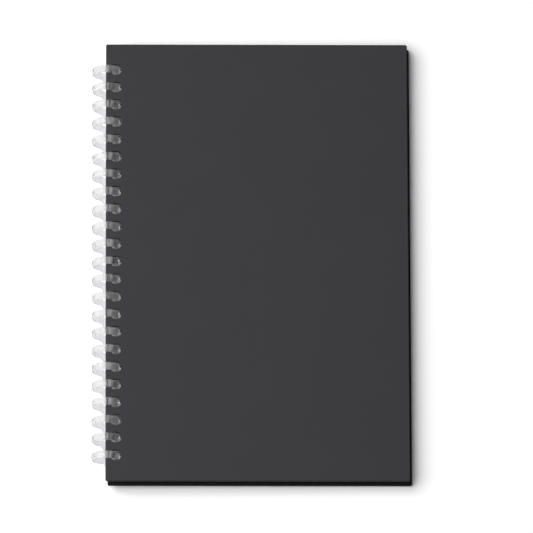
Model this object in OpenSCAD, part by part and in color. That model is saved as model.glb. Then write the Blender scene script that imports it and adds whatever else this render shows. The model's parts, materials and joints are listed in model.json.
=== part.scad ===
// Spiral notebook: two wrapped board covers and a block of pages, threaded on one flat plastic coil.
// X runs from the spine to the fore edge, Y from the tail to the head and Z up, in millimetres.
// The origin is under the middle of the notebook, in the plane that the coil's lowest point touches.

/* [Covers] */
// Width of each cover, from its spine edge to its fore edge
cover_w = 140; // [100:1:220]
// Height of each cover, from its tail edge to its head edge
cover_h = 211; // [120:1:300]
// Radius of the covers' four corners
corner_r = 0.8; // [0.6:0.1:6]
// Thickness of the board inside each cover
board_t = 1.3; // [0.8:0.1:3]
// Thickness of the cover paper that wraps each board
wrap_t = 0.2; // [0.1:0.05:0.4]
// Width of the strip of cover paper that is turned in onto each inner face
turn_in = 14; // [8:0.5:20]
// Thickness of the lining paper pasted over the turned-in strips
lining_t = 0.15; // [0.1:0.05:0.3]
// Distance from the edges of a cover to the edges of its lining
lining_inset = 3; // [1:0.5:6]

/* [Pages] */
// Thickness of the block of pages
page_t = 3.4; // [1.5:0.1:12]
// Distance by which the pages stop short of the covers at the head, the tail and the fore edge
page_inset = 2.5; // [1:0.5:8]
// Clearance between the block of pages and each lining
page_play = 0.15; // [0.05:0.05:0.5]

/* [Coil] */
// Distance between two neighbouring turns of the coil
pitch = 8.467; // [7:0.001:11]
// Width of the flat filament, along the spine
filament_w = 3.5; // [2:0.1:4]
// Thickness of the flat filament, towards the axis of the coil
filament_t = 1.8; // [1.2:0.1:2.6]
// Clearance between the outer faces of the covers and the inside of the coil above the spine
coil_play = 1.2; // [1:0.1:3]
// Length along the spine of the crimped tip at each end of the coil
crimp_l = 4.5; // [3:0.1:8]

/* [Holes] */
// Clearance along the spine between the filament and each side of its hole
hole_side_play = 0.75; // [0.6:0.05:1.5]
// Clearance between the filament and the side of its hole next to the spine
hole_near_play = 0.6; // [0.5:0.05:0.8]
// Clearance between the filament and the side of its hole away from the spine
hole_far_play = 0.6; // [0.4:0.05:1.5]
// Smallest distance from the first and last holes' centres to the ends of the cover
hole_margin = 12; // [8:0.5:30]

/* [Lie on the coil] */
// Distance from the coil's axis to the front cover's spine edge, below zero where the edge has passed it
front_gap = -0.2; // [-0.3:0.05:0.3]
// Distance from the coil's axis to the pages' spine edges
page_gap = 0.5; // [0.3:0.05:0.7]
// Distance from the coil's axis to the back cover's spine edge
back_gap = 0.8; // [0.4:0.05:1]
// Clearance left beside the filament on the tail side of the front cover's holes
front_side_play = 0.5; // [0.4:0.05:0.6]
// Clearance left beside the filament on the head side of the back cover's holes
back_side_play = 0.4; // [0.35:0.05:0.6]

/* [Hidden] */
// Stack: the coil's axis lies at z = 0 in the middle of its thickness until the whole part is lifted
cover_t = wrap_t + board_t + wrap_t + lining_t;
cover_in_z = page_t / 2 + page_play;
cover_out_z = cover_in_z + cover_t;
lining_flat_w = cover_w - 2 * lining_inset;
lining_flat_h = cover_h - 2 * lining_inset;
window_w = cover_w - 2 * turn_in;
window_h = cover_h - 2 * turn_in;
page_w = front_gap + cover_w - page_inset - page_gap;
page_h = cover_h - 2 * page_inset;

// Coil: a ring round the spine edges, centred on the axis that the covers turn about
coil_in_r = cover_out_z + coil_play;
coil_mid_r = coil_in_r + filament_t / 2;
coil_out_r = coil_in_r + filament_t;
turns = floor((cover_h - 2 * hole_margin) / pitch) + 1;
first_y = (turns - 1) * pitch / 2;

// Holes: all leaves are punched alike, measured from their spine edges
entry_x = sqrt(coil_in_r * coil_in_r - cover_out_z * cover_out_z);
hole_near = entry_x - back_gap - hole_near_play;
hole_far = coil_out_r - front_gap + hole_far_play;
hole_w = filament_w + 2 * hole_side_play;
hole_r = hole_w / 2;
// The front cover has slid towards the head and the back cover towards the tail
front_slide = hole_side_play - front_side_play;
back_slide = hole_side_play - back_side_play;

// Filament section: a flat strip with chamfered corners, in [across, outwards] coordinates
edge_cut = 0.28;
face_cut = 0.3;
half_w = filament_w / 2;
half_t = filament_t / 2;
side_t = half_t * (1 - 2 * face_cut);
flat_w = half_w * (1 - 2 * edge_cut);
SECTION = [
    [half_w, side_t],
    [half_w, -side_t],
    [flat_w, -half_t],
    [-flat_w, -half_t],
    [-half_w, -side_t],
    [-half_w, side_t],
    [-flat_w, half_t],
    [flat_w, half_t]
];
SIDES = len(SECTION);

// Route of the coil as [angle, y] pairs: a flat loop through the stack and over the spine, where the
// leaves turn on it, then a slanting pass below the back cover that makes up the whole pitch.
// The last loop runs on below the back cover, and both tips are crimped there
loop_from = -54;
loop_to = 224;
loop_steps = 18;
pass_steps = 8;
pass_delay = 2;
crimp_turn = 30;
crimp_steps = 5;
tail_turn = 34;
tail_steps = 2;
pass_turn = 360 - (loop_to - loop_from);
LOOP = [for (i = [0 : loop_steps]) loop_from + i * (loop_to - loop_from) / loop_steps];
PASS = [for (i = [1 : pass_steps - 1]) i / pass_steps];
CRIMP = [for (i = [1 : crimp_steps]) i * 90 / crimp_steps];
HEAD_TIP = [
    for (i = [crimp_steps - 1 : -1 : 0])
        [loop_from - crimp_turn * sin(CRIMP[i]), first_y + crimp_l * (1 - cos(CRIMP[i]))]
];
TAIL_RUN = [
    for (i = [1 : tail_steps])
        [(turns - 1) * 360 + loop_to + i * tail_turn / tail_steps, -first_y]
];
TAIL_TIP = [
    for (a = CRIMP)
        [(turns - 1) * 360 + loop_to + tail_turn + crimp_turn * sin(a), -first_y - crimp_l * (1 - cos(a))]
];
ROUTE = concat(
    HEAD_TIP,
    [
        for (k = [0 : turns - 1])
            each concat(
                [for (a = LOOP) [k * 360 + a, first_y - k * pitch]],
                k < turns - 1
                    ? [for (u = PASS) [k * 360 + loop_to + u * pass_turn, first_y - (k + ease(u)) * pitch]]
                    : []
            )
    ],
    TAIL_RUN,
    TAIL_TIP
);
RINGS = len(ROUTE);

// Place of the part's own origin, seen from the coil's axis
back_right_x = back_gap + cover_w;
middle_x = (back_right_x - coil_out_r) / 2;
middle_y = (front_slide - back_slide) / 2;

// Cuts reach this far past the faces that they open
over = 1;

cover_color = "#3f3f41";
lining_color = "#161617";
board_color = "#232324";
page_color = "#efece2";
coil_color = "#c9cbd2";

$fn = 48;

// Share of the pitch made up at share u of a slanting pass: it starts and ends square to the spine,
// and most of it lies below the back cover
function ease(u) = let (v = pow(u, pass_delay)) v * v * (3 - 2 * v);

// Slope of the route at ring i, as an angle from the plane of the loops
function slope(i) =
    let (a = ROUTE[max(i - 1, 0)], b = ROUTE[min(i + 1, RINGS - 1)])
    i == 0 || i == RINGS - 1 ? 90 : atan2(a[1] - b[1], (b[0] - a[0]) * coil_mid_r * PI / 180);

// Points of ring i: the section stands square to the route and is bent round the coil's cylinder
function ring(i) =
    let (angle = ROUTE[i][0], y = ROUTE[i][1], s = slope(i))
    [
        for (p = SECTION)
            let (a = angle + p[0] * sin(s) / coil_mid_r * 180 / PI, r = coil_mid_r + p[1])
                [r * cos(a), y + p[0] * cos(s), r * sin(a)]
    ];

// Moves a piece from the coil's axis to the part's own origin
module seat() {
    translate([-middle_x, -middle_y, coil_out_r]) children();
}

module place_front() {
    seat() translate([front_gap, front_slide, cover_in_z]) children();
}

module place_back() {
    seat() translate([back_gap, -back_slide, -cover_in_z]) mirror([0, 0, 1]) children();
}

// Rectangle with round corners, from x = 0, centred on y = 0
module sheet_outline(w, h, r) {
    translate([r, -h / 2]) square([w - 2 * r, h]);
    translate([0, r - h / 2]) square([w, h - 2 * r]);
    for (x = [r, w - r])
        for (y = [r - h / 2, h / 2 - r])
            translate([x, y]) circle(r);
}

// One punched hole, with round ends, measured from the spine edge
module hole_outline() {
    translate([hole_near + hole_r, -hole_r]) square([hole_far - hole_near - hole_w, hole_w]);
    translate([hole_near + hole_r, 0]) circle(hole_r);
    translate([hole_far - hole_r, 0]) circle(hole_r);
}

// The row of holes as cutters that pass through a leaf between two heights
module punch(z_from, z_to) {
    for (k = [0 : turns - 1])
        translate([0, first_y - k * pitch, z_from - over])
            linear_extrude(z_to - z_from + 2 * over) hole_outline();
}

// Core board of a cover, with the cover's inner face at z = 0
module cover_board() {
    difference() {
        translate([wrap_t, 0, lining_t + wrap_t])
            linear_extrude(board_t) sheet_outline(cover_w - 2 * wrap_t, cover_h - 2 * wrap_t, corner_r - wrap_t);
        punch(0, cover_t);
    }
}

// Cover paper: it covers the outer face, goes round the four edges and is turned in on the inner face
module cover_wrap() {
    difference() {
        translate([0, 0, lining_t]) linear_extrude(cover_t - lining_t) sheet_outline(cover_w, cover_h, corner_r);
        translate([wrap_t, 0, lining_t + wrap_t])
            linear_extrude(board_t) sheet_outline(cover_w - 2 * wrap_t, cover_h - 2 * wrap_t, corner_r - wrap_t);
        translate([turn_in, -window_h / 2, lining_t - over]) cube([window_w, window_h, wrap_t + over + board_t / 2]);
        punch(0, cover_t);
    }
}

// Lining paper: it lies on the turned-in strips and dips between them onto the board
module cover_lining() {
    difference() {
        union() {
            translate([lining_inset, -lining_flat_h / 2, 0]) cube([lining_flat_w, lining_flat_h, lining_t]);
            translate([turn_in, -window_h / 2, 0]) cube([window_w, window_h, lining_t + wrap_t]);
        }
        translate([turn_in + lining_t, lining_t - window_h / 2, -over])
            cube([window_w - 2 * lining_t, window_h - 2 * lining_t, over + wrap_t]);
        punch(0, cover_t);
    }
}

module front_wrap() {
    color(cover_color) place_front() cover_wrap();
}

module front_board() {
    color(board_color) place_front() cover_board();
}

module front_lining() {
    color(lining_color) place_front() cover_lining();
}

module back_wrap() {
    color(cover_color) place_back() cover_wrap();
}

module back_board() {
    color(board_color) place_back() cover_board();
}

module back_lining() {
    color(lining_color) place_back() cover_lining();
}

// All the pages as one punched block
module page_block() {
    color(page_color) seat() translate([page_gap, 0, -page_t / 2])
        difference() {
            translate([0, -page_h / 2, 0]) cube([page_w, page_h, page_t]);
            punch(0, page_t);
        }
}

// One strip of plastic wound through every hole, with both tips crimped along the spine
module coil() {
    color(coil_color) seat()
        polyhedron(
            points = [for (i = [0 : RINGS - 1]) each ring(i)],
            faces = concat(
                [[for (j = [0 : SIDES - 1]) j]],
                [
                    for (i = [0 : RINGS - 2], j = [0 : SIDES - 1])
                        let (n = (j + 1) % SIDES, a = i * SIDES, b = a + SIDES)
                            each [[a + n, a + j, b + j], [a + n, b + j, b + n]]
                ],
                [[for (j = [SIDES - 1 : -1 : 0]) (RINGS - 1) * SIDES + j]]
            ),
            convexity = 10
        );
}

front_wrap();
front_board();
front_lining();
page_block();
back_lining();
back_board();
back_wrap();
coil();
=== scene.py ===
"""Spiral notebook: two paper-wrapped board covers, a block of loose punched leaves and a clear coil.

The covers' paper, the leaves and the coil are made here as finer meshes that stand for their CAD nodes.
The boards and the linings keep their CAD meshes. The notebook's sizes are in millimetres, as in the
part's source. The stage's sizes and the bumps of the materials are in metres.
"""

import json
import math
import random

import bmesh
import bpy
from mathutils import Matrix, Vector
from mathutils.geometry import delaunay_2d_cdt


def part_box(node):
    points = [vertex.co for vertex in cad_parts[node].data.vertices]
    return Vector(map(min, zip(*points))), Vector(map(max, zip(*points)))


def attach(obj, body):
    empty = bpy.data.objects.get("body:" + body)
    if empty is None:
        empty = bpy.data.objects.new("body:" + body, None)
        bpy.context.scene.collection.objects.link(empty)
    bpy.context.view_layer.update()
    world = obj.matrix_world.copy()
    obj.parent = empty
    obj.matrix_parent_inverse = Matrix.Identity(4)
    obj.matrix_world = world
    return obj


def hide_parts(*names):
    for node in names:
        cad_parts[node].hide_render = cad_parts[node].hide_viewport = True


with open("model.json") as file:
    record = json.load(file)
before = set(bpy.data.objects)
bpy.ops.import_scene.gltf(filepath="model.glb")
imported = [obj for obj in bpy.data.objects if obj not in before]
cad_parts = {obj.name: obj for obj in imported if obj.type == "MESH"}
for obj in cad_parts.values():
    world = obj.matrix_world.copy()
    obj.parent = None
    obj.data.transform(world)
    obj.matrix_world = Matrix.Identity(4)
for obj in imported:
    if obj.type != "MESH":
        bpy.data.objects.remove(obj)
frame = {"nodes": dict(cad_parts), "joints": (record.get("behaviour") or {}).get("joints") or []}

MM = 0.001

# Coil
PITCH = 8.467
TURNS = 23
FIRST_Y = (TURNS - 1) * PITCH / 2
COIL_MID_R = 5.8
FILAMENT_W = 3.5
# A little under the CAD's 1.8, so that the rounder filament stays inside the CAD's box
FILAMENT_T = 1.74
LOOP_FROM = -54
LOOP_TO = 224
LOOP_MIDDLE = (LOOP_FROM + LOOP_TO) / 2
PASS_TURN = 360 - LOOP_TO + LOOP_FROM
# Power that holds back the start of each slanting pass
PASS_DELAY = 2
TAIL_TURN = 34
CRIMP_TURN = 30
CRIMP_L = 4.5
LOOP_STEPS = 44
PASS_STEPS = 14
TAIL_STEPS = 5
CRIMP_STEPS = 8
SECTION_STEPS = 20
# 2 makes the section an ellipse, and more makes it squarer
SECTION_POWER = 2.25
TIP_BEVEL = 0.08
TIP_SCALE = 0.88

# How the turns lie: each is freest over the spine, at FREE_MIDDLE degrees, and held in the back holes
COIL_SEED = 11
FREE_MIDDLE = 95
FREE_REACH = 125
TURN_SHIFT = 0.11
TURN_LEAN = 0.8
TURN_LIFT = 0.05

# Holes, measured from a leaf's spine edge
HOLE_NEAR = 1.8125
HOLE_FAR = 7.5
HOLE_W = 5.0
HOLE_END_STEPS = 12
PAGE_HOLE_END_STEPS = 8
# A triangle counts as open only where its middle is at least this deep in a hole
HOLE_SLACK = 0.02
# Painted shade in the leaves' holes is darkest up to the first distance from their edges, and fades out to
# the second
HOLE_SHADE_REACH = (0.25, 0.6)
# Points closer than this are one point for the triangles of a flat region
SAME_POINT = 1e-6

# Cover paper
CORNER_R = 0.8
CORNER_STEPS = 8
WRAP_T = 0.2
TURN_IN = 14.0
OUTER_ROUND = 0.45
INNER_ROUND = 0.34
ROUND_STEPS = 5
RIM_ROUND = 0.1
RIM_STEPS = 2
EDGE_STEP = 6.0
# The cover paper is rubbed most up to the first distance from its edges, and not at all past the second
RUBBED = (0.1, 1.1)
# Each mitred fold is a groove through these stops, measured from a corner's two edges, and ends level
MITRE_DEPTH = 0.09
MITRE_W = 0.16
MITRE_STOPS = (1.1, 5.0, 9.0, 13.2)

# Leaves
LEAF_SEED = 7
LEAVES = 34
LEAF_GAP = 0.012
LEAF_SHIFT = 0.14
LEAF_WAVE = 0.035
# How far the wave's phase runs on along one edge, in radians
LEAF_WAVE_TURN = 9
LEAF_EDGE_STEP = 9.0

# Colours
CHARCOAL = (0.0382, 0.0382, 0.0408)
CHARCOAL_CLOUD = (0.0402, 0.0402, 0.0428)
CHARCOAL_FIBRE = (0.0418, 0.0418, 0.0444)
CHARCOAL_RUBBED = (0.07, 0.07, 0.073)
# Painted shade for the cover paper's rounded edges, and near-black painted shade for its turned-in strips
CHARCOAL_EDGE_SHADE = (0.022, 0.022, 0.0235)
CHARCOAL_TURNED_IN_SHADE = (0.011, 0.011, 0.012)
LINING = (0.008, 0.008, 0.009)
LINING_FIBRE = (0.014, 0.014, 0.015)
LINING_FLECK = (0.03, 0.03, 0.031)
BOARD = (0.03, 0.03, 0.031)
BOARD_LAYER = (0.05, 0.0495, 0.05)
BOARD_FIBRE = (0.075, 0.073, 0.071)
LEAF = (0.86, 0.835, 0.75)
LEAF_CLOUD = (0.88, 0.86, 0.785)
LEAF_TINT = (0.8, 0.77, 0.68)
# Painted shade for the leaves' cut and punched edges
LEAF_EDGE = (0.55, 0.53, 0.47)
# Near-black painted shade for the walls and rims of the leaves' holes
LEAF_HOLE_SHADE = (0.09, 0.088, 0.086)
LEAF_FIBRE = (0.83, 0.805, 0.73)
PLASTIC_CLEAR = (0.95, 0.95, 0.952)
PLASTIC_MILKY = (0.9, 0.9, 0.915)
PLASTIC_SHADE = (0.9, 0.9, 0.902)
WHITE = (1, 1, 1)

# Most of a noise lies in this span
NOISE_SPAN = (0.3, 0.7)

# Light, where 1 in all shows a colour on the floor as it is written
KEY_LEVEL = 0.77
FILL_LEVEL = 0.07
SKY_BRIGHT = 0.24
SKY_DARK = 0.05
SKY_AZIMUTH = 190
LAMP_GRID = 16

# Where the sky changes, as cosines to its bright side: its light, and what gloss and clear plastic show
SKY_SIDES = (-0.7, 0.7)
GLOSS_SIDES = (-0.7, 0.2)
GLOSS_DARK = 0.35
# Gloss and clear plastic show a darker sky overhead, between these cosines to straight up
CEILING_HEIGHTS = (0.45, 0.85)
CEILING = 0.3

# Floor: its tone for light that bounces off it, as gloss and clear plastic show it, and as it is seen
FLOOR_TONE = 0.8
FLOOR_IN_GLOSS = 0.74
FLOOR_SEEN = 1.16
FLOOR_REACH = 4.0
FLOOR_GAP = 0.00003

# Camera, with its turns in radians
SENSOR = 36
LENS = 675.23
CLIP = (0.1, 20)
CAMERA_PLACE = (-0.0711, -1.36355, 4.42394)
CAMERA_TURNS = (("Y", -0.01771), ("X", 0.29913), ("Z", -0.00346))

axis_x, _, axis_z = (value / MM for value in frame["joints"][0]["pos_m"])
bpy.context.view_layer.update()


# Meshes
def add_object(name, data):
    made = bpy.data.objects.new(name, data)
    bpy.context.scene.collection.objects.link(made)
    return made


def finish_mesh(bm, name, body, node, material):
    """Turns millimetres into metres, makes the object and lets it ride on its body in its node's place."""
    bmesh.ops.scale(bm, vec=(MM, MM, MM), verts=bm.verts)
    bmesh.ops.recalc_face_normals(bm, faces=bm.faces)
    mesh = bpy.data.meshes.new(name)
    bm.to_mesh(mesh)
    bm.free()
    mesh.materials.append(material)
    piece = add_object(name, mesh)
    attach(piece, body)
    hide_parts(node)


def bridge(bm, lower, upper, smooth=True):
    """Joins two closed rings of the same length with quads."""
    for i in range(len(lower)):
        j = (i + 1) % len(lower)
        face = bm.faces.new((lower[i], lower[j], upper[j], upper[i]))
        face.smooth = smooth


def ring(bm, points, z):
    return [bm.verts.new((x, y, z)) for x, y in points]


def fill(bm, loops, is_open, lines=()):
    """Fills the flat region between closed loops with triangles. is_open(x, y) says where it stays empty.

    lines are open chains of vertices that the triangles keep as edges.
    """
    verts = []
    edges = []
    for chain, closed in [(loop, True) for loop in loops] + [(line, False) for line in lines]:
        start = len(verts)
        verts.extend(chain)
        edges.extend((start + i, start + i + 1) for i in range(len(chain) - 1))
        if closed:
            edges.append((start + len(chain) - 1, start))
    flat = [Vector((v.co.x, v.co.y)) for v in verts]
    points, _, faces, origins, _, _ = delaunay_2d_cdt(flat, edges, [], 0, SAME_POINT, True)
    for face in faces:
        x = sum(points[i].x for i in face) / len(face)
        y = sum(points[i].y for i in face) / len(face)
        if not is_open(x, y):
            bm.faces.new([verts[origins[i][0]] for i in face])


def round_rect(x0, x1, y0, y1, radius, inset, step):
    """Points of a rectangle with round corners, moved inwards by inset, counter-clockwise."""
    r = radius - inset
    centres = [
        (x1 - radius, y0 + radius, -90),
        (x1 - radius, y1 - radius, 0),
        (x0 + radius, y1 - radius, 90),
        (x0 + radius, y0 + radius, 180),
    ]
    points = []
    for n, (cx, cy, start) in enumerate(centres):
        for i in range(CORNER_STEPS + 1):
            a = math.radians(start + 90 * i / CORNER_STEPS)
            points.append((cx + r * math.cos(a), cy + r * math.sin(a)))
        ax, ay = points[-1]
        nx, ny, next_start = centres[(n + 1) % len(centres)]
        b = math.radians(next_start)
        bx, by = nx + r * math.cos(b), ny + r * math.sin(b)
        pieces = max(1, round(math.hypot(bx - ax, by - ay) / step))
        points.extend(
            (ax + (bx - ax) * i / pieces, ay + (by - ay) * i / pieces) for i in range(1, pieces)
        )
    return points


def slot_points(cx0, cx1, y, r, steps):
    """Points of a slot with round ends, counter-clockwise. cx0 and cx1 are the ends' centres."""
    points = []
    for cx, start in ((cx1, -90), (cx0, 90)):
        for i in range(steps + 1):
            a = math.radians(start + 180 * i / steps)
            points.append((cx + r * math.cos(a), y + r * math.sin(a)))
    return points


class HoleRow:
    """The row of holes in a leaf whose spine edge is at x0 and whose middle is at y_mid."""

    def __init__(self, x0, y_mid, steps):
        self.cx0 = x0 + HOLE_NEAR + HOLE_W / 2
        self.cx1 = x0 + HOLE_FAR - HOLE_W / 2
        self.centres = [y_mid + FIRST_Y - k * PITCH for k in range(TURNS)]
        self.steps = steps

    def outlines(self, grow=0.0):
        return [
            slot_points(self.cx0, self.cx1, y, HOLE_W / 2 + grow, self.steps) for y in self.centres
        ]

    def holds(self, x, y):
        k = round((self.centres[0] - y) / PITCH)
        if not 0 <= k < TURNS:
            return False
        cx = min(max(x, self.cx0), self.cx1)
        return math.hypot(x - cx, y - self.centres[k]) < HOLE_W / 2 - HOLE_SLACK


# Cover paper
def edge_profile(thick):
    """[inset, height] pairs round a cover's edge, from the inner face's rim to the outer face's rim."""
    turns = [math.radians(90 * i / ROUND_STEPS) for i in range(ROUND_STEPS + 1)]
    inner = [(INNER_ROUND * (1 - math.sin(a)), INNER_ROUND * (1 - math.cos(a))) for a in turns]
    outer = [(OUTER_ROUND * (1 - math.cos(a)), thick - OUTER_ROUND * (1 - math.sin(a))) for a in turns]
    return inner + outer


def hole_walls(bm, holes, place, face_z, back_z):
    """Walls of a row of holes from a face to its back, with a soft rim at the face.

    Returns the rings of vertices at the face and those at the back.
    """
    inward = 1 if back_z > face_z else -1
    steps = []
    for i in range(RIM_STEPS + 1):
        a = math.radians(90 * i / RIM_STEPS)
        steps.append((RIM_ROUND * (1 - math.sin(a)), face_z + inward * RIM_ROUND * (1 - math.cos(a))))
    steps.append((0.0, back_z))
    rims, backs = [], []
    for row in zip(*(holes.outlines(grow) for grow, _ in steps)):
        rings = [ring(bm, points, place(z)) for points, (_, z) in zip(row, steps)]
        for n, (a, b) in enumerate(zip(rings, rings[1:])):
            bridge(bm, a, b, smooth=n < RIM_STEPS)
        rims.append(rings[0])
        backs.append(rings[-1])
    return rims, backs


def mitre_folds(bm, lo, hi, place):
    """Mitred folds of the turned-in strips, pressed in along the diagonals of the inner face."""
    folds = []
    for sx, cx in ((1, lo.x), (-1, hi.x)):
        for sy, cy in ((1, lo.y), (-1, hi.y)):
            for side in (-1, 0, 1):
                across = side * MITRE_W / 2
                chain = []
                for stop in MITRE_STOPS if side == 0 else MITRE_STOPS[1:-1]:
                    depth = MITRE_DEPTH if side == 0 and stop < MITRE_STOPS[-1] else 0
                    x = cx + sx * (stop - across)
                    y = cy + sy * (stop + across)
                    chain.append(bm.verts.new((x, y, place(depth))))
                folds.append(chain)
    return folds


def cover_wrap(name, node, body, outer_up, material):
    """Paper round one board: its outer face, four rounded edges, turned-in strips and punched holes."""
    lo, hi = (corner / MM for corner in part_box(node))
    thick = hi.z - lo.z
    x_mid = (lo.x + hi.x) / 2
    y_mid = (lo.y + hi.y) / 2
    window_x = (hi.x - lo.x) / 2 - TURN_IN
    window_y = (hi.y - lo.y) / 2 - TURN_IN
    holes = HoleRow(lo.x, y_mid, HOLE_END_STEPS)
    bm = bmesh.new()

    def place(z):
        """Height over the inner face, turned over for the back cover."""
        return lo.z + z if outer_up else hi.z - z

    def outline(inset):
        return round_rect(lo.x, hi.x, lo.y, hi.y, CORNER_R, inset, EDGE_STEP)

    def hole_or_window(x, y):
        return holes.holds(x, y) or (abs(x - x_mid) < window_x and abs(y - y_mid) < window_y)

    rings = [ring(bm, outline(inset), place(z)) for inset, z in edge_profile(thick)]
    for lower, upper in zip(rings, rings[1:]):
        bridge(bm, lower, upper)

    # Cavity that holds the board
    cavity_in = ring(bm, outline(WRAP_T), place(WRAP_T))
    cavity_out = ring(bm, outline(WRAP_T), place(thick - WRAP_T))
    bridge(bm, cavity_in, cavity_out, smooth=False)

    # Window between the turned-in strips
    window = [
        (lo.x + TURN_IN, lo.y + TURN_IN),
        (hi.x - TURN_IN, lo.y + TURN_IN),
        (hi.x - TURN_IN, hi.y - TURN_IN),
        (lo.x + TURN_IN, hi.y - TURN_IN),
    ]
    window_face = ring(bm, window, place(0))
    window_board = ring(bm, window, place(WRAP_T))
    bridge(bm, window_face, window_board, smooth=False)

    outer_rims, outer_backs = hole_walls(bm, holes, place, thick, thick - WRAP_T)
    inner_rims, inner_backs = hole_walls(bm, holes, place, 0, WRAP_T)
    folds = mitre_folds(bm, lo, hi, place)

    fill(bm, [rings[-1]] + outer_rims, holes.holds)
    fill(bm, [cavity_out] + outer_backs, holes.holds)
    fill(bm, [rings[0], window_face] + inner_rims, hole_or_window, folds)
    fill(bm, [cavity_in, window_board] + inner_backs, hole_or_window)
    finish_mesh(bm, name, body, node, material)


# Leaves
def leaf_edge(x0, x1, y0, y1, phase):
    """Points of a leaf's edge, counter-clockwise, with a faint wave between the corners."""
    corners = [(x0, y0), (x1, y0), (x1, y1), (x0, y1)]
    points = []
    for (ax, ay), (bx, by) in zip(corners, corners[1:] + corners[:1]):
        pieces = round(math.hypot(bx - ax, by - ay) / LEAF_EDGE_STEP)
        for i in range(pieces):
            t = i / pieces
            wave = LEAF_WAVE * math.sin(phase + (ax + ay) + LEAF_WAVE_TURN * t) * math.sin(math.pi * t)
            x = ax + (bx - ax) * t
            y = ay + (by - ay) * t
            points.append((x + wave, y) if ax == bx else (x, y + wave))
    return points


def page_leaves(name, node, body, material):
    """Loose sheets, each punched like the next one and lying a little out of line with it."""
    lo, hi = (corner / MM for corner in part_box(node))
    chance = random.Random(LEAF_SEED)
    leaf_t = (hi.z - lo.z) / LEAVES
    y_mid = (lo.y + hi.y) / 2
    inset = LEAF_SHIFT + LEAF_WAVE
    bm = bmesh.new()

    for n in range(LEAVES):
        dx = chance.uniform(-LEAF_SHIFT, LEAF_SHIFT)
        dy = chance.uniform(-LEAF_SHIFT, LEAF_SHIFT)
        phase = chance.uniform(0, 2 * math.pi)
        x0, x1 = lo.x + inset + dx, hi.x - inset + dx
        y0, y1 = lo.y + inset + dy, hi.y - inset + dy
        holes = HoleRow(x0 - inset, y_mid + dy, PAGE_HOLE_END_STEPS)
        loops = [leaf_edge(x0, x1, y0, y1, phase)] + holes.outlines()
        z0 = lo.z + n * leaf_t + LEAF_GAP / 2
        z1 = z0 + leaf_t - LEAF_GAP
        faces = []
        for z in (z0, z1):
            rings = [ring(bm, points, z) for points in loops]
            fill(bm, rings, holes.holds)
            faces.append(rings)
        for below, above in zip(*faces):
            bridge(bm, below, above, smooth=False)
    finish_mesh(bm, name, body, node, material)


# Coil
def crimp(step):
    """How far a crimped tip has turned and how far it has run along the spine, after some of its steps."""
    a = math.radians(90 * step / CRIMP_STEPS)
    return CRIMP_TURN * math.sin(a), CRIMP_L * (1 - math.cos(a))


def coil_route():
    """[angle, y] pairs of the coil's centre line: flat loops, slanting passes and two crimped tips."""
    route = []
    for i in range(CRIMP_STEPS, 0, -1):
        turned, run = crimp(i)
        route.append((LOOP_FROM - turned, FIRST_Y + run))
    for k in range(TURNS):
        start = k * 360
        for i in range(LOOP_STEPS + 1):
            angle = start + LOOP_FROM + i * (LOOP_TO - LOOP_FROM) / LOOP_STEPS
            route.append((angle, FIRST_Y - k * PITCH))
        if k < TURNS - 1:
            for i in range(1, PASS_STEPS):
                v = (i / PASS_STEPS) ** PASS_DELAY
                rise = v * v * (3 - 2 * v)
                route.append((start + LOOP_TO + i * PASS_TURN / PASS_STEPS, FIRST_Y - (k + rise) * PITCH))
    end = (TURNS - 1) * 360 + LOOP_TO
    for i in range(1, TAIL_STEPS + 1):
        route.append((end + TAIL_TURN * i / TAIL_STEPS, -FIRST_Y))
    for i in range(1, CRIMP_STEPS + 1):
        turned, run = crimp(i)
        route.append((end + TAIL_TURN + turned, -FIRST_Y - run))
    return route


def coil_section():
    """Flattened oval, as [across, outwards] pairs."""
    points = []
    for i in range(SECTION_STEPS):
        a = 2 * math.pi * i / SECTION_STEPS
        c, s = math.cos(a), math.sin(a)
        across = FILAMENT_W / 2 * math.copysign(abs(c) ** (2 / SECTION_POWER), c)
        outwards = FILAMENT_T / 2 * math.copysign(abs(s) ** (2 / SECTION_POWER), s)
        points.append((across, outwards))
    return points


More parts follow.
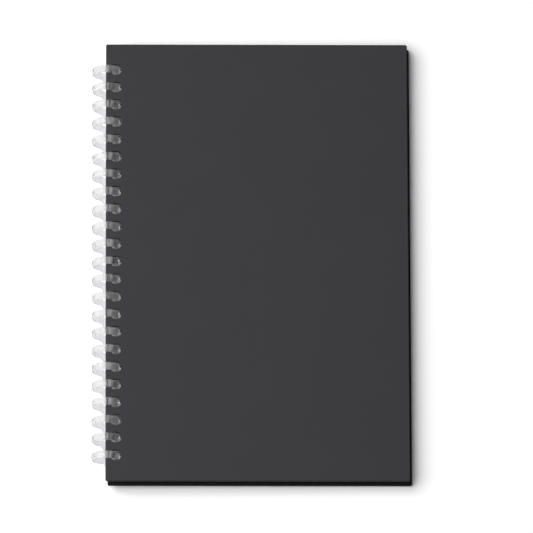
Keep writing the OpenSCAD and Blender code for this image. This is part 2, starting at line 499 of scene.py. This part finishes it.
def coil(name, node, body, material):
    """The filament swept along its route, with its section bent round the coil's cylinder."""
    lo, hi = (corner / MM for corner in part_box(node))
    y_mid = (lo.y + hi.y) / 2
    route = coil_route()
    section = coil_section()
    last = len(route) - 1
    chance = random.Random(COIL_SEED)
    lies = [(chance.uniform(-1, 1), chance.uniform(-1, 1), chance.uniform(-1, 0)) for _ in range(TURNS)]
    bm = bmesh.new()

    def lie(angle):
        """Shift along the spine and lift of the filament at an angle of its route."""
        k = min(max(round((angle - LOOP_MIDDLE) / 360), 0), TURNS - 1)
        shift, lean, lift = lies[k]
        from_middle = angle - 360 * k - FREE_MIDDLE
        fade = min(max(90 * from_middle / FREE_REACH, -90), 90)
        free = math.cos(math.radians(fade)) ** 2
        shift += TURN_LEAN * math.sin(math.radians(from_middle)) * lean
        return TURN_SHIFT * free * shift, TURN_LIFT * free * lift

    def section_ring(i):
        angle, y = route[i]
        before, after = route[max(i - 1, 0)], route[min(i + 1, last)]
        run = math.radians(after[0] - before[0]) * COIL_MID_R
        slope = math.pi / 2 if i in (0, last) else math.atan2(before[1] - after[1], run)
        shift, lift = lie(angle)
        verts = []
        for across, outwards in section:
            a = math.radians(angle) + across * math.sin(slope) / COIL_MID_R
            r = COIL_MID_R + lift + outwards
            x = axis_x + r * math.cos(a)
            z = axis_z + r * math.sin(a)
            verts.append(bm.verts.new((x, y_mid + y + shift + across * math.cos(slope), z)))
        return verts

    rings = [section_ring(i) for i in range(last + 1)]
    for a, b in zip(rings, rings[1:]):
        bridge(bm, a, b)

    # Cut tips, with a small bevel that leans out along the spine
    for end, lean in ((rings[0], 1), (rings[-1], -1)):
        middle = sum((v.co for v in end), Vector()) / len(end)
        out = Vector((0, lean * TIP_BEVEL, 0))
        cap = [bm.verts.new(middle + (v.co - middle) * TIP_SCALE + out) for v in end]
        bridge(bm, end, cap)
        bm.faces.new(cap)
    finish_mesh(bm, name, body, node, material)


# Nodes
class Nodes:
    """Short ways to add nodes to one node tree."""

    def __init__(self, tree):
        self.tree = tree

    def add(self, kind, inputs=None, **settings):
        """Adds a node. inputs gives each input's value, or the output that feeds it."""
        made = self.tree.nodes.new(kind)
        for key, value in settings.items():
            setattr(made, key, value)
        for key, value in (inputs or {}).items():
            socket = made.inputs[key]
            if isinstance(value, bpy.types.NodeSocket):
                self.tree.links.new(value, socket)
            else:
                socket.default_value = (*value, 1) if socket.type == "RGBA" else value
        return made

    def math(self, operation, *values):
        return self.add("ShaderNodeMath", dict(enumerate(values)), operation=operation).outputs[0]

    def spread(self, value, span, result=(0, 1), smooth=False):
        """Maps a span of values onto a result, and holds it at the result's ends."""
        inputs = {0: value, 1: span[0], 2: span[1], 3: result[0], 4: result[1]}
        kind = "SMOOTHSTEP" if smooth else "LINEAR"
        return self.add("ShaderNodeMapRange", inputs, interpolation_type=kind).outputs[0]

    def ray(self, kind):
        return self.add("ShaderNodeLightPath").outputs[kind]

    def seen_rays(self):
        """1 for rays from the camera, and for what gloss and clear plastic show, or else 0."""
        shown = self.math("MAXIMUM", self.ray("Is Glossy Ray"), self.ray("Is Transmission Ray"))
        return self.math("MAXIMUM", self.ray("Is Camera Ray"), shown)


class Shader(Nodes):
    """A material with one Principled shader."""

    def __init__(self, name, setting, value):
        self.material = bpy.data.materials.new(name)
        self.material.use_nodes = True
        super().__init__(self.material.node_tree)
        self.surface = self.tree.nodes["Principled BSDF"]
        self.surface.inputs[setting].default_value = value
        coordinates = self.add("ShaderNodeTexCoord").outputs
        self.place = coordinates["Object"]
        self.normal = coordinates["Normal"]

    def link(self, output, key):
        self.tree.links.new(output, self.surface.inputs[key])

    def axes(self, vector):
        return list(self.add("ShaderNodeSeparateXYZ", {0: vector}).outputs)

    def noise(self, scale, detail, stretch=(1, 1, 1), roughness=0.55):
        """Noise in object space. scale is the number of cells in a metre."""
        mapped = self.add("ShaderNodeMapping", {"Vector": self.place, "Scale": stretch}).outputs[0]
        inputs = {"Vector": mapped, "Scale": scale, "Detail": detail, "Roughness": roughness}
        return self.add("ShaderNodeTexNoise", inputs).outputs[0]

    def mix(self, share, a, b):
        return self.add("ShaderNodeMix", {0: share, 6: a, 7: b}, data_type="RGBA").outputs[2]

    def facing_up(self):
        """1 where the surface faces up at rest, 0 where it stands upright, -1 where it faces down."""
        return self.axes(self.normal)[2]

    def off_middle(self, value, low, high):
        """Distance from the middle between two places on an axis."""
        return self.math("ABSOLUTE", self.math("SUBTRACT", value, (low + high) / 2))

    def length(self, a, b):
        squares = self.math("ADD", self.math("MULTIPLY", a, a), self.math("MULTIPLY", b, b))
        return self.math("SQRT", squares)

    def bump(self, height, strength, distance):
        made = self.add("ShaderNodeBump", {"Height": height, "Strength": strength, "Distance": distance})
        self.link(made.outputs[0], "Normal")


# Materials
def cover_paper(name, node, outer_up):
    """Matt laminated charcoal paper, faintly clouded, fine-grained and a little rubbed along its edges, with
    painted shade on its rounded edges and turned-in strips.
    """
    lo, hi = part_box(node)
    s = Shader(name, "Specular IOR Level", 0.12)
    x, y, _ = s.axes(s.place)
    gap_x = s.math("SUBTRACT", (hi.x - lo.x) / 2, s.off_middle(x, lo.x, hi.x))
    gap_y = s.math("SUBTRACT", (hi.y - lo.y) / 2, s.off_middle(y, lo.y, hi.y))
    fade = [distance * MM for distance in RUBBED]
    rim = s.spread(s.math("MINIMUM", gap_x, gap_y), fade, (1, 0), smooth=True)
    rub = s.math("MULTIPLY", rim, s.spread(s.noise(420, 4), (0.42, 0.68), (0.15, 1)))
    cloud = s.spread(s.noise(55, 4), NOISE_SPAN)
    fibre = s.spread(s.noise(1500, 5, (1, 0.5, 1)), NOISE_SPAN)
    tone = s.mix(cloud, CHARCOAL, CHARCOAL_CLOUD)
    tone = s.mix(s.math("MULTIPLY", fibre, 0.5), tone, CHARCOAL_FIBRE)
    tone = s.mix(s.math("MULTIPLY", rub, 0.2), tone, CHARCOAL_RUBBED)
    # Painted shade: the rounded edges are darker than the outer face, and the turned-in strips are nearly
    # black
    facing = s.math("MULTIPLY", s.facing_up(), 1 if outer_up else -1)
    tone = s.mix(s.spread(facing, (0.85, 0.35)), tone, CHARCOAL_EDGE_SHADE)
    s.link(s.mix(s.spread(facing, (-0.2, -0.8)), tone, CHARCOAL_TURNED_IN_SHADE), "Base Color")
    matt = s.spread(fibre, (0, 1), (0.56, 0.66))
    s.link(s.math("SUBTRACT", matt, s.math("MULTIPLY", rub, 0.12)), "Roughness")
    grain = s.math("ADD", s.noise(5200, 4), s.math("MULTIPLY", s.noise(900, 2), 0.6))
    s.bump(grain, strength=0.22, distance=0.00005)
    return s.material


def lining_paper(name):
    """Uncoated black paper with faint fibres."""
    s = Shader(name, "Specular IOR Level", 0.15)
    fibre = s.spread(s.noise(900, 6, (1, 0.35, 1), 0.65), NOISE_SPAN)
    fleck = s.spread(s.noise(2600, 2), (0.66, 0.78))
    tone = s.mix(fibre, LINING, LINING_FIBRE)
    s.link(s.mix(s.math("MULTIPLY", fleck, 0.4), tone, LINING_FLECK), "Base Color")
    s.link(s.spread(fibre, (0, 1), (0.82, 0.94)), "Roughness")
    s.bump(s.math("ADD", s.noise(3600, 5), fibre), strength=0.35, distance=0.00006)
    return s.material


def core_board(name):
    """Dyed black board: pressed layers that show in the punched walls."""
    s = Shader(name, "Specular IOR Level", 0.15)
    layers = s.spread(s.noise(700, 4, (1, 1, 9)), NOISE_SPAN)
    fibre = s.spread(s.noise(2400, 5), (0.35, 0.7))
    tone = s.mix(layers, BOARD, BOARD_LAYER)
    s.link(s.mix(s.math("MULTIPLY", fibre, 0.4), tone, BOARD_FIBRE), "Base Color")
    s.link(s.spread(fibre, (0, 1), (0.85, 0.97)), "Roughness")
    s.bump(s.math("ADD", layers, s.math("MULTIPLY", fibre, 0.7)), strength=0.6, distance=0.0001)
    return s.material


def hole_shade(s, node):
    """Mask for painted shade: 1 at the walls and the rims of a row of holes, fading to 0 on the paper round
    them.
    """
    lo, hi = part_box(node)
    x, y, _ = s.axes(s.place)
    dx = s.off_middle(x, lo.x + HOLE_NEAR * MM, lo.x + HOLE_FAR * MM)
    dx = s.math("MAXIMUM", s.math("SUBTRACT", dx, (HOLE_FAR - HOLE_NEAR - HOLE_W) / 2 * MM), 0)
    dy = s.math("PINGPONG", s.math("SUBTRACT", y, (lo.y + hi.y) / 2), PITCH / 2 * MM)
    fade = [(HOLE_W / 2 + distance) * MM for distance in HOLE_SHADE_REACH]
    rim = s.spread(s.length(dx, dy), fade, (1, 0), smooth=True)
    in_row = s.math("LESS_THAN", s.math("ABSOLUTE", y), (FIRST_Y + HOLE_W) * MM)
    return s.math("MULTIPLY", rim, in_row)


def page_paper(name, node):
    """Uncoated off-white writing paper. Each leaf has a slightly different tone at its edge. Painted shade
    darkens the cut edges, and darkens the walls and rims of the holes more.
    """
    s = Shader(name, "Specular IOR Level", 0.25)
    fibre = s.spread(s.noise(1800, 6, (1, 0.45, 1), 0.65), (0.3, 0.72))
    leaf = s.spread(s.noise(190, 1, (0.02, 0.02, 50)), NOISE_SPAN)
    cloud = s.spread(s.noise(130, 3), NOISE_SPAN)
    tone = s.mix(cloud, LEAF, LEAF_CLOUD)
    tone = s.mix(s.math("MULTIPLY", leaf, 0.35), tone, LEAF_TINT)
    # Painted shade: cut and punched edges are darker than a leaf's face, for the shade in the air between
    # the leaves
    edge = s.spread(s.math("ABSOLUTE", s.facing_up()), (0.2, 0.8), (1, 0))
    tone = s.mix(s.math("MULTIPLY", edge, 0.5), tone, LEAF_EDGE)
    # Painted shade: the walls and the rims of the holes are darkened nearly to black
    tone = s.mix(s.math("MULTIPLY", hole_shade(s, node), 0.95), tone, LEAF_HOLE_SHADE)
    s.link(s.mix(s.math("MULTIPLY", fibre, 0.3), tone, LEAF_FIBRE), "Base Color")
    s.link(s.spread(fibre, (0, 1), (0.78, 0.9)), "Roughness")
    s.bump(s.math("ADD", fibre, s.noise(5200, 3)), strength=0.25, distance=0.00004)
    return s.material


def coil_plastic(name):
    """Soft clear plastic, a little milky: drawn streaks run along the filament and fine ripples cross it."""
    s = Shader(name, "IOR", 1.12)
    x, y, z = s.axes(s.place)
    from_x = s.math("SUBTRACT", x, axis_x * MM)
    from_z = s.math("SUBTRACT", z, axis_z * MM)
    radius = s.length(from_x, from_z)
    turn = s.math("ARCTAN2", from_z, from_x)

    def along_filament(across, turn_length, scale):
        """Noise with its own scale factors across the filament and along a turn of it."""
        inputs = {
            0: s.math("MULTIPLY", radius, across),
            1: s.math("MULTIPLY", y, across),
            2: s.math("MULTIPLY", turn, turn_length),
        }
        place = s.add("ShaderNodeCombineXYZ", inputs).outputs[0]
        return s.add("ShaderNodeTexNoise", {"Vector": place, "Scale": scale, "Detail": 2}).outputs[0]

    streak = along_filament(across=1, turn_length=0.0004, scale=2300)
    ripple = along_filament(across=0.04, turn_length=COIL_MID_R * MM, scale=1300)
    ripple = s.spread(ripple, (0.45, 0.55))
    faint = s.math("ADD", streak, s.noise(380, 3))
    milk = s.spread(s.math("ADD", s.math("MULTIPLY", ripple, 3), faint), (0.8, 4.2))
    s.link(s.mix(milk, PLASTIC_CLEAR, PLASTIC_MILKY), "Base Color")
    s.link(s.spread(milk, (0, 1), (0.27, 0.35)), "Roughness")
    s.link(s.spread(milk, (0, 1), (0.98, 0.82)), "Transmission Weight")
    s.bump(s.math("ADD", ripple, faint), strength=0.25, distance=0.00005)
    # Lamps shine through the plastic onto what lies behind it
    clear = s.add("ShaderNodeBsdfTransparent", {"Color": PLASTIC_SHADE}).outputs[0]
    inputs = {0: s.ray("Is Shadow Ray"), 1: s.surface.outputs[0], 2: clear}
    both = s.add("ShaderNodeMixShader", inputs).outputs[0]
    s.tree.links.new(both, s.tree.nodes["Material Output"].inputs["Surface"])
    return s.material


# Pieces
front_paper = cover_paper("front_paper", "front_wrap", True)
back_paper = cover_paper("back_paper", "back_wrap", False)
cover_wrap("front_cover_paper", "front_wrap", "front_cover", True, front_paper)
cover_wrap("back_cover_paper", "back_wrap", "back_cover", False, back_paper)
page_leaves("page_leaves", "page_block", "pages", page_paper("page_paper", "page_block"))
coil("plastic_coil", "coil", "back_cover", coil_plastic("coil_plastic"))

board = core_board("core_board")
lining = lining_paper("lining_paper")
for node, material in (
    ("front_board", board),
    ("back_board", board),
    ("front_lining", lining),
    ("back_lining", lining),
):
    frame["nodes"][node].data.materials.clear()
    frame["nodes"][node].data.materials.append(material)


# Stage
def make_floor():
    """A plain pale floor just under the coil's lowest line and the back cover's fore edge."""
    coil_lo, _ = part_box("coil")
    wrap_lo, wrap_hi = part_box("back_wrap")
    rise = (wrap_lo.z - coil_lo.z) / (wrap_hi.x - axis_x * MM)
    far = FLOOR_REACH
    bm = bmesh.new()
    corners = [(-far, -far), (far, -far), (far, far), (-far, far)]
    bm.faces.new([bm.verts.new((x, y, (x - axis_x * MM) * rise - FLOOR_GAP)) for x, y in corners])
    mesh = bpy.data.meshes.new("floor")
    bm.to_mesh(mesh)
    bm.free()
    floor = add_object("floor", mesh)
    material = bpy.data.materials.new("floor")
    material.use_nodes = True
    nodes = Nodes(material.node_tree)
    nodes.tree.nodes.clear()
    tone = nodes.spread(nodes.seen_rays(), (0, 1), (FLOOR_TONE, FLOOR_IN_GLOSS))
    bright = nodes.math("MULTIPLY_ADD", nodes.ray("Is Camera Ray"), FLOOR_SEEN - FLOOR_IN_GLOSS, tone)
    diffuse = nodes.add("ShaderNodeBsdfDiffuse", {"Color": bright})
    nodes.add("ShaderNodeOutputMaterial", {"Surface": diffuse.outputs[0]})
    mesh.materials.append(material)


def make_world():
    """Soft light from all round, brighter from the spine's side. The camera sees it white."""
    world = bpy.data.worlds.new("world")
    bpy.context.scene.world = world
    world.use_nodes = True
    nodes = Nodes(world.node_tree)
    nodes.tree.nodes.clear()
    direction = nodes.add("ShaderNodeTexCoord").outputs["Generated"]
    toward = math.radians(SKY_AZIMUTH)
    inputs = {0: direction, 1: (math.cos(toward), math.sin(toward), 0)}
    side = nodes.add("ShaderNodeVectorMath", inputs, operation="DOT_PRODUCT").outputs["Value"]
    height = nodes.add("ShaderNodeSeparateXYZ", {0: direction}).outputs["Z"]

    # What gloss and clear plastic show is dark overhead, so that the matt covers keep their tone
    overhead = nodes.spread(height, CEILING_HEIGHTS, (1, CEILING), smooth=True)
    beside = nodes.spread(side, GLOSS_SIDES, (GLOSS_DARK, 1), smooth=True)
    shown = nodes.math("MAXIMUM", nodes.math("MULTIPLY", overhead, beside), nodes.ray("Is Camera Ray"))
    seen = nodes.add("ShaderNodeBackground", {"Color": WHITE, "Strength": shown})
    strength = nodes.spread(side, SKY_SIDES, (SKY_DARK, SKY_BRIGHT), smooth=True)
    light = nodes.add("ShaderNodeBackground", {"Color": WHITE, "Strength": strength})
    inputs = {0: nodes.seen_rays(), 1: light.outputs[0], 2: seen.outputs[0]}
    both = nodes.add("ShaderNodeMixShader", inputs)
    nodes.add("ShaderNodeOutputWorld", {"Surface": both.outputs[0]})


def make_lamp(name, azimuth, elevation, distance, size, level):
    """A soft box that faces the notebook. azimuth is the side it stands on, from +X towards +Y.

    level is the share of its written colour that a floor under the middle shows by this lamp alone.
    """
    a, e = math.radians(azimuth), math.radians(elevation)
    toward = Vector((math.cos(a) * math.cos(e), math.sin(a) * math.cos(e), math.sin(e)))
    light = bpy.data.lights.new(name, "AREA")
    light.shape = "RECTANGLE"
    light.size, light.size_y = size
    lamp = add_object(name, light)
    lamp.location = toward * distance
    lamp.rotation_mode = "QUATERNION"
    lamp.rotation_quaternion = toward.to_track_quat("Z", "Y")
    lamp.visible_transmission = False

    # Cosine at the floor times cosine at the lamp over the distance squared, as a mean over the lamp
    steps = [(i + 0.5) / LAMP_GRID - 0.5 for i in range(LAMP_GRID)]
    reach = 0.0
    for u in steps:
        for v in steps:
            point = lamp.location + lamp.rotation_quaternion @ Vector((u * size[0], v * size[1], 0))
            ray = point.normalized()
            reach += max(ray.z, 0) * max(ray.dot(toward), 0) / point.length_squared / LAMP_GRID ** 2
    light.energy = level * math.pi ** 2 / reach


def make_camera():
    """Far off, with a long lens, above the notebook and a little to its tail side."""
    data = bpy.data.cameras.new("camera")
    data.sensor_width = SENSOR
    data.lens = LENS
    data.clip_start, data.clip_end = CLIP
    camera = add_object("camera", data)
    turn = Matrix.Identity(3)
    for axis, angle in CAMERA_TURNS:
        turn = turn @ Matrix.Rotation(angle, 3, axis)
    camera.matrix_world = Matrix.Translation(CAMERA_PLACE) @ turn.to_4x4()
    bpy.context.scene.camera = camera


make_floor()
make_world()
make_lamp("soft_box", azimuth=172, elevation=54, distance=1.05, size=(1.3, 1.1), level=KEY_LEVEL)
make_lamp("front_fill", azimuth=265, elevation=50, distance=2.4, size=(0.8, 0.8), level=FILL_LEVEL)
make_camera()
bpy.context.scene.view_settings.view_transform = "Standard"
